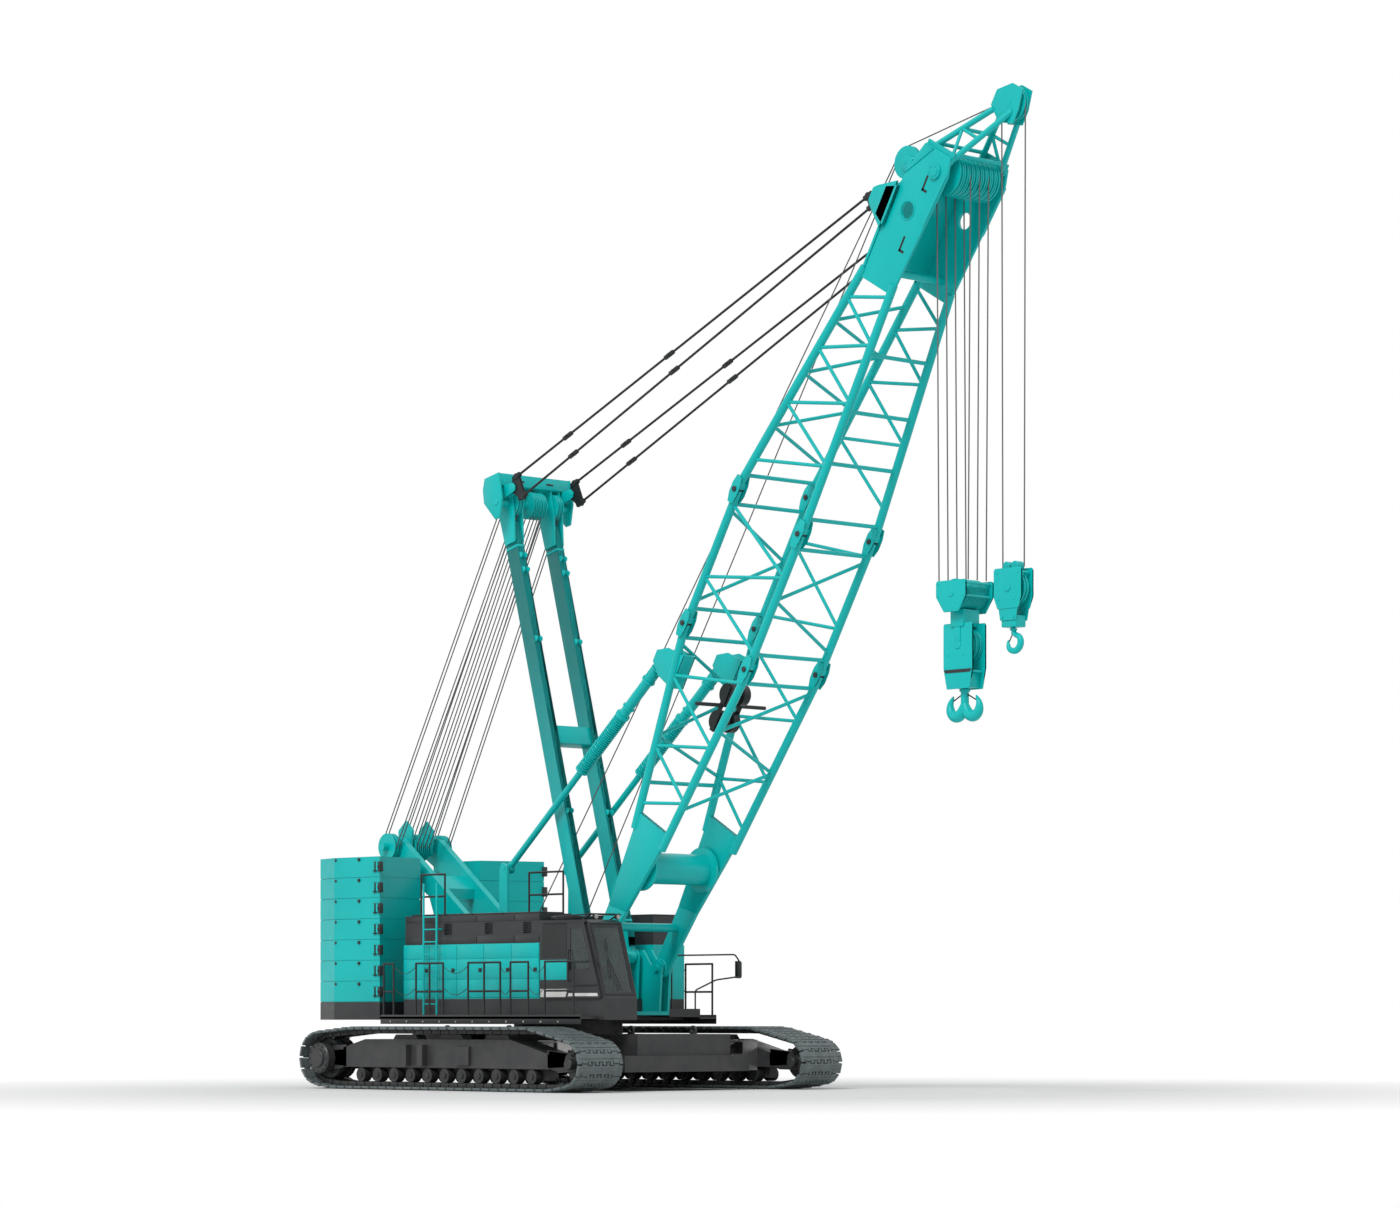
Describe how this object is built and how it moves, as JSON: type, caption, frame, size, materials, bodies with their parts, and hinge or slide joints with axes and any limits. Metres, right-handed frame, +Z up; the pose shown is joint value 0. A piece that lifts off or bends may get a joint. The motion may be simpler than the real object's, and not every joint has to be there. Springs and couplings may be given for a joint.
{
  "type": "crawler crane",
  "caption": "Lattice boom crawler crane with track shoes, side cab, stacked counterweights, mast, pendants, backstops and two hook blocks.",
  "frame": {"origin": "on the ground, midway between the counterweight's rear and the boom's nose, on the machine's middle plane", "axes": "+X forward, the way the boom reaches; +Y to the machine's left; +Z up"},
  "size_m": [19.2463, 7.62, 19.6874],
  "materials": {
    "teal_paint": "gloss",
    "charcoal_paint": "satin",
    "black_paint": "satin",
    "track_steel": "matte",
    "bare_steel": "satin",
    "wire_rope": "matte",
    "cast_weight": "gloss",
    "glass": "gloss",
    "seat_fabric": "matte",
    "sheave_plastic": "matte"
  },
  "bodies": {
    "lower": {"track_right": "track_steel", "track_left": "track_steel", "side_frame_right": "charcoal_paint", "side_frame_left": "charcoal_paint", "drive_tumblers": "charcoal_paint", "idlers": "track_steel", "track_rollers": "track_steel", "car_body": "charcoal_paint", "slewing_ring": "bare_steel", "car_body_weights": "charcoal_paint", "access_steps": "bare_steel"},
    "upper": {"upper_frame": "charcoal_paint", "foot_brackets": "teal_paint", "machinery_house_right": "teal_paint", "machinery_house_left": "teal_paint", "house_casing_right": "charcoal_paint", "house_casing_left": "charcoal_paint", "catwalks": "charcoal_paint", "guard_rails": "black_paint", "access_ladder": "teal_paint", "cab_shell": "charcoal_paint", "operator_seat": "seat_fabric", "counterweight_base": "black_paint", "counterweight_right": "cast_weight", "counterweight_left": "cast_weight", "gantry": "teal_paint", "gantry_sheaves": "teal_paint", "winch_drums": "charcoal_paint", "backstop_posts": "teal_paint", "mirror_arm": "black_paint"},
    "door": {"cab_door": "charcoal_paint", "cab_door_glass": "glass"},
    "mast": {"mast": "teal_paint", "mast_sheaves": "teal_paint"},
    "pendants": {"pendants": "black_paint"},
    "backstop_rods": {"backstop_rods": "teal_paint"},
    "backstop_tubes": {"backstop_tubes": "teal_paint"},
    "boom": {"boom_base": "teal_paint", "boom_insert": "teal_paint", "boom_top": "teal_paint", "head_sheaves": "teal_paint", "auxiliary_jib": "teal_paint", "boom_drum": "teal_paint", "cable_reels": "black_paint"},
    "main_block": {"main_falls": "wire_rope", "main_block": "teal_paint"},
    "main_hook": {"main_hook": "teal_paint"},
    "aux_block": {"aux_falls": "wire_rope", "aux_block": "teal_paint"},
    "aux_hook": {"aux_hook": "teal_paint"}
  },
  "joints": [
    {"name": "slew", "type": "hinge", "parent": "lower", "child": "upper", "pos_m": [-3.82, 0, 1.3], "axis": [0, 0, 1], "continuous": true},
    {"name": "cab_door_slide", "type": "slide", "parent": "upper", "child": "door", "axis": [-1, 0, 0], "range_m": [0, 0.75]},
    {"name": "boom_luff", "type": "hinge", "parent": "upper", "child": "boom", "pos_m": [-1.92, 0, 2.6], "axis": [0, -1, 0], "range_deg": [-29.58, 20.42]},
    {"name": "mast_luff", "type": "hinge", "parent": "upper", "child": "mast", "pos_m": [-2.49, 0, 2.85], "axis": [0, -1, 0], "range_deg": [-30.8, 21.3]},
    {"name": "pendant_pivot", "type": "hinge", "parent": "mast", "child": "pendants", "pos_m": [-4.6193, 0, 13.0498], "axis": [0, -1, 0], "range_deg": [-1.75, 2.52]},
    {"name": "backstop_pivot", "type": "hinge", "parent": "upper", "child": "backstop_rods", "pos_m": [-4.78, 0, 4.78], "axis": [0, -1, 0], "range_deg": [-25.4, 17.5]},
    {"name": "backstop_slide", "type": "slide", "parent": "backstop_rods", "child": "backstop_tubes", "axis": [0.7588, 0, 0.6513], "range_m": [-1.225, 1.775]},
    {"name": "main_block_plumb", "type": "hinge", "parent": "boom", "child": "main_block", "pos_m": [7.9115, 0, 18.0603], "axis": [0, -1, 0], "range_deg": [-20.5, 29.7]},
    {"name": "aux_block_plumb", "type": "hinge", "parent": "boom", "child": "aux_block", "pos_m": [9.2014, 0, 19.3091], "axis": [0, -1, 0], "range_deg": [-20.5, 29.7]},
    {"name": "main_hook_swivel", "type": "hinge", "parent": "main_block", "child": "main_hook", "pos_m": [7.9115, 0, 7.9], "axis": [0, 0, 1], "continuous": true},
    {"name": "aux_hook_swivel", "type": "hinge", "parent": "aux_block", "child": "aux_hook", "pos_m": [9.2014, 0, 9], "axis": [0, 0, 1], "continuous": true}
  ],
  "couplings": [
    {"joint": "mast_luff", "follows": "boom_luff", "ratio": 1.0403},
    {"joint": "pendant_pivot", "follows": "boom_luff", "ratio": -0.084751},
    {"joint": "backstop_pivot", "follows": "boom_luff", "ratio": 0.85592},
    {"joint": "backstop_slide", "follows": "boom_luff", "m_per_rad": -3.4216},
    {"joint": "main_block_plumb", "follows": "boom_luff", "ratio": -1},
    {"joint": "aux_block_plumb", "follows": "boom_luff", "ratio": -1}
  ]
}
